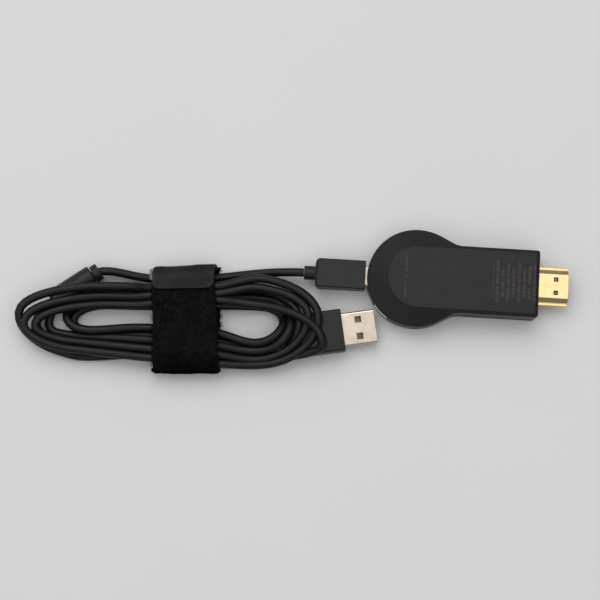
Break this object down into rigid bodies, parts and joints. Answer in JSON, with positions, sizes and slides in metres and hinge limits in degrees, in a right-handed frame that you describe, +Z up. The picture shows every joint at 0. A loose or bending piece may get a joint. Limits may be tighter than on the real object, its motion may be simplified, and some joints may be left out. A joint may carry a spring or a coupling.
{
  "type": "streaming media player",
  "caption": "Stick-shaped media player with a round end and a gold video plug, its power lead plugged in and tied in a hank with a hook-and-loop strap.",
  "frame": {"origin": "centre of the player (without its lead) seen from above, on the surface that its front cover rests on", "axes": "+X along the player from its round end to the tip of its video plug, +Z up out of its back cover, +Y across it"},
  "size_m": [0.1955, 0.0562, 0.012],
  "materials": {
    "cover": "fine matte moulded plastic",
    "front": "smooth semi-gloss moulded plastic",
    "gold": "gold-plated pressed steel, polished",
    "nickel": "nickel-plated pressed steel",
    "contact": "gold-plated contacts",
    "insulator": "moulded black insulator",
    "cord": "satin black cord jacket and mouldings",
    "strap": "black loop pile",
    "hook_tab": "dark grey moulded hooks on woven tape",
    "button": "pale satin metal",
    "clear": "clear moulded plastic",
    "ceramic_white": "white ceramic",
    "board": "green solder mask",
    "chip": "black moulded package",
    "shield": "tinned steel",
    "aluminium": "plain sheet",
    "pad": "soft heat pad",
    "ferrite": "sintered ferrite"
  },
  "bodies": {
    "player": {"back_cover": "cover", "bulk_capacitor": "chip", "chip_antenna": "ceramic_white", "clock_crystal": "shield", "cover_pad": "pad", "flash_chip": "chip", "front_cover": "front", "front_spreader": "aluminium", "heat_spreader": "aluminium", "light_window": "clear", "main_board": "board", "memory_chip": "chip", "power_inductor": "ferrite", "power_regulator": "chip", "power_socket_shell": "nickel", "power_socket_tongue": "insulator", "processor_chip": "chip", "processor_pad": "pad", "reset_switch": "shield", "shield_can": "shield", "spreader_pad": "pad", "status_light": "clear", "video_plug_insulator": "insulator", "video_plug_shell": "gold", "video_plug_tail": "insulator", "wireless_module": "shield"},
    "button": {"reset_button": "button", "reset_switch_plunger": "insulator"},
    "power_lead": {"choke_collar": "cord", "choke_core": "ferrite", "choke_jacket": "cord", "cord_hank": "cord", "cord_lead_in": "cord", "micro_plug_body": "cord", "micro_plug_relief": "cord", "micro_plug_shell": "nickel", "micro_plug_tongue": "insulator", "strap_band": "strap", "strap_tab": "hook_tab", "usb_contact_1": "contact", "usb_contact_2": "contact", "usb_contact_3": "contact", "usb_contact_4": "contact", "usb_plug_body": "cord", "usb_plug_relief": "cord", "usb_plug_shell": "nickel", "usb_plug_tongue": "insulator"}
  },
  "joints": [
    {"name": "reset_press", "type": "slide", "parent": "player", "child": "button", "axis": [0.6947, 0.7193, 0], "range_m": [0, 0.0004], "stiffness_N_per_m": 2000, "springref_m": -0.0002},
    {"name": "lead_unplug", "type": "slide", "parent": "player", "child": "power_lead", "axis": [-1, 0, 0], "range_m": [0, 0.008]}
  ]
}
